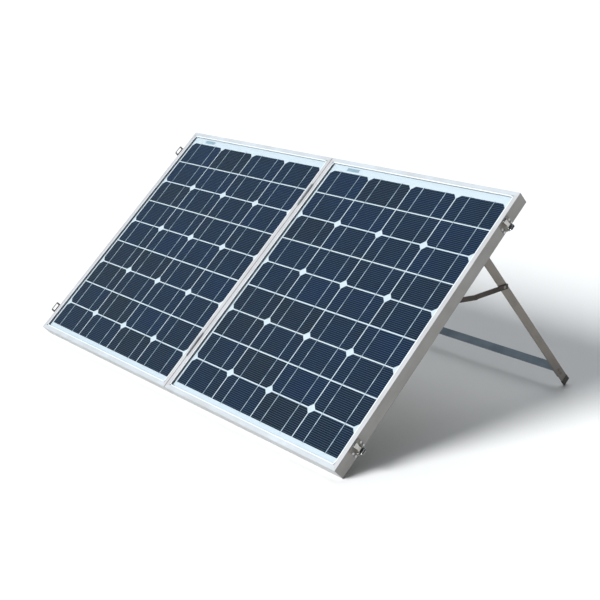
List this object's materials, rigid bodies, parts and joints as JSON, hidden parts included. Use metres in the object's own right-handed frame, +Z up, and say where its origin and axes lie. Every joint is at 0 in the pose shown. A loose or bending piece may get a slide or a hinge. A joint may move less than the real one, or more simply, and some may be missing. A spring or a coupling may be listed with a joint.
{
  "type": "folding solar panel kit",
  "caption": "Folding portable solar charging kit: framed monocrystalline panels hinged at a seam, with folding rear leg frames, stays and draw latches.",
  "frame": {"origin": "middle of the base of the open kit, on the ground it stands on", "axes": "+Z up; the sunny side faces -Y and up; +X runs from the left panel to the right panel, seen from the sunny side"},
  "size_m": [1.1058, 0.6712, 0.4434],
  "materials": {
    "anodised_frame": "satin anodised",
    "cast_key": "as cast",
    "solar_glass": "clear tempered low-iron",
    "backsheet": "matt white film",
    "edge_seal": "cured sealant",
    "silicon_cell": "dark blue, anti-reflection coated",
    "tinned_ribbon": "tinned",
    "label": "blank film",
    "black_plastic": "fine texture",
    "terminal_brass": "plain",
    "crossbar_aluminium": "dull",
    "leg_aluminium": "dull mill",
    "cap_plastic": "moulded",
    "dark_steel": "dark bronze",
    "keeper_steel": "dull plated",
    "bright_steel": "bright plated",
    "zinc_steel": "zinc plated"
  },
  "bodies": {
    "right_panel": {"right_outer_rail": "anodised_frame", "right_seam_rail": "anodised_frame", "right_top_rail": "anodised_frame", "right_bottom_rail": "anodised_frame", "right_corner_keys": "cast_key", "right_glass": "solar_glass", "right_backsheet": "backsheet", "right_edge_seal": "edge_seal", "right_cells": "silicon_cell", "right_ribbons": "tinned_ribbon", "right_blank_label": "label", "right_junction_box": "black_plastic", "right_junction_box_lid": "black_plastic", "right_terminals_and_diodes": "terminal_brass", "right_cable_glands": "black_plastic", "right_hinge_leaves": "zinc_steel", "right_pivot_studs": "zinc_steel", "right_frame_rivets": "zinc_steel", "hinge_pins": "zinc_steel", "latch_plates": "bright_steel", "latch_lever_pins": "bright_steel"},
    "left_panel": {"left_outer_rail": "anodised_frame", "left_seam_rail": "anodised_frame", "left_top_rail": "anodised_frame", "left_bottom_rail": "anodised_frame", "left_corner_keys": "cast_key", "left_glass": "solar_glass", "left_backsheet": "backsheet", "left_edge_seal": "edge_seal", "left_cells": "silicon_cell", "left_ribbons": "tinned_ribbon", "left_blank_label": "label", "left_junction_box": "black_plastic", "left_junction_box_lid": "black_plastic", "left_terminals_and_diodes": "terminal_brass", "left_cable_glands": "black_plastic", "left_hinge_leaves": "zinc_steel", "left_pivot_studs": "zinc_steel", "left_frame_rivets": "zinc_steel", "keepers": "keeper_steel"},
    "right_legs": {"right_outer_leg": "leg_aluminium", "right_inner_leg": "leg_aluminium", "right_leg_crossbar": "crossbar_aluminium", "right_leg_end_caps": "cap_plastic", "right_leg_rivets": "zinc_steel"},
    "left_legs": {"left_outer_leg": "leg_aluminium", "left_inner_leg": "leg_aluminium", "left_leg_crossbar": "crossbar_aluminium", "left_leg_end_caps": "cap_plastic", "left_leg_rivets": "zinc_steel"},
    "right_rail_links": {"right_rail_links": "dark_steel"},
    "left_rail_links": {"left_rail_links": "dark_steel"},
    "right_leg_links": {"right_leg_links": "dark_steel"},
    "left_leg_links": {"left_leg_links": "dark_steel"},
    "lower_latch_lever": {"lower_latch_lever": "bright_steel"},
    "upper_latch_lever": {"upper_latch_lever": "bright_steel"},
    "lower_latch_claw": {"lower_latch_claw": "bright_steel"},
    "upper_latch_claw": {"upper_latch_claw": "bright_steel"}
  },
  "joints": [
    {"name": "seam_fold", "type": "hinge", "parent": "right_panel", "child": "left_panel", "pos_m": [-0.0064, -0.2549, 0.09572], "axis": [0, 0.7475, 0.6642], "range_deg": [0, 180]},
    {"name": "right_leg_fold", "type": "hinge", "parent": "right_panel", "child": "right_legs", "pos_m": [0.52135, 0.05012, 0.33959], "axis": [-1, 0, 0], "range_deg": [0, 88.2]},
    {"name": "right_rail_link_turn", "type": "hinge", "parent": "right_panel", "child": "right_rail_links", "pos_m": [0.52575, -0.03659, 0.26254], "axis": [-1, 0, 0], "range_deg": [0, 132.8]},
    {"name": "right_leg_link_turn", "type": "hinge", "parent": "right_legs", "child": "right_leg_links", "pos_m": [0.52365, 0.11801, 0.25818], "axis": [-1, 0, 0], "range_deg": [-128, 0]},
    {"name": "left_leg_fold", "type": "hinge", "parent": "left_panel", "child": "left_legs", "pos_m": [-0.53415, 0.05012, 0.33959], "axis": [-1, 0, 0], "range_deg": [0, 88.2]},
    {"name": "left_rail_link_turn", "type": "hinge", "parent": "left_panel", "child": "left_rail_links", "pos_m": [-0.53855, -0.03659, 0.26254], "axis": [-1, 0, 0], "range_deg": [0, 132.8]},
    {"name": "left_leg_link_turn", "type": "hinge", "parent": "left_legs", "child": "left_leg_links", "pos_m": [-0.53645, 0.11801, 0.25818], "axis": [-1, 0, 0], "range_deg": [-128, 0]},
    {"name": "lower_latch_close", "type": "hinge", "parent": "right_panel", "child": "lower_latch_lever", "pos_m": [0.54185, -0.279, 0.0438], "axis": [0, 0.7475, 0.6642], "range_deg": [0, 90]},
    {"name": "lower_claw_turn", "type": "hinge", "parent": "lower_latch_lever", "child": "lower_latch_claw", "pos_m": [0.54585, -0.27876, 0.04354], "axis": [0, 0.7475, 0.6642], "range_deg": [-85, 0]},
    {"name": "upper_latch_close", "type": "hinge", "parent": "right_panel", "child": "upper_latch_lever", "pos_m": [0.54185, 0.10299, 0.38323], "axis": [0, 0.7475, 0.6642], "range_deg": [0, 90]},
    {"name": "upper_claw_turn", "type": "hinge", "parent": "upper_latch_lever", "child": "upper_latch_claw", "pos_m": [0.54585, 0.10322, 0.38296], "axis": [0, 0.7475, 0.6642], "range_deg": [-85, 0]}
  ],
  "couplings": [
    {"joint": "right_rail_link_turn", "follows": "right_leg_fold", "ratio": 1.5046},
    {"joint": "right_leg_link_turn", "follows": "right_leg_fold", "ratio": -1.4499},
    {"joint": "left_rail_link_turn", "follows": "left_leg_fold", "ratio": 1.5046},
    {"joint": "left_leg_link_turn", "follows": "left_leg_fold", "ratio": -1.4499},
    {"joint": "lower_claw_turn", "follows": "lower_latch_close", "ratio": -0.938},
    {"joint": "upper_claw_turn", "follows": "upper_latch_close", "ratio": -0.938}
  ]
}
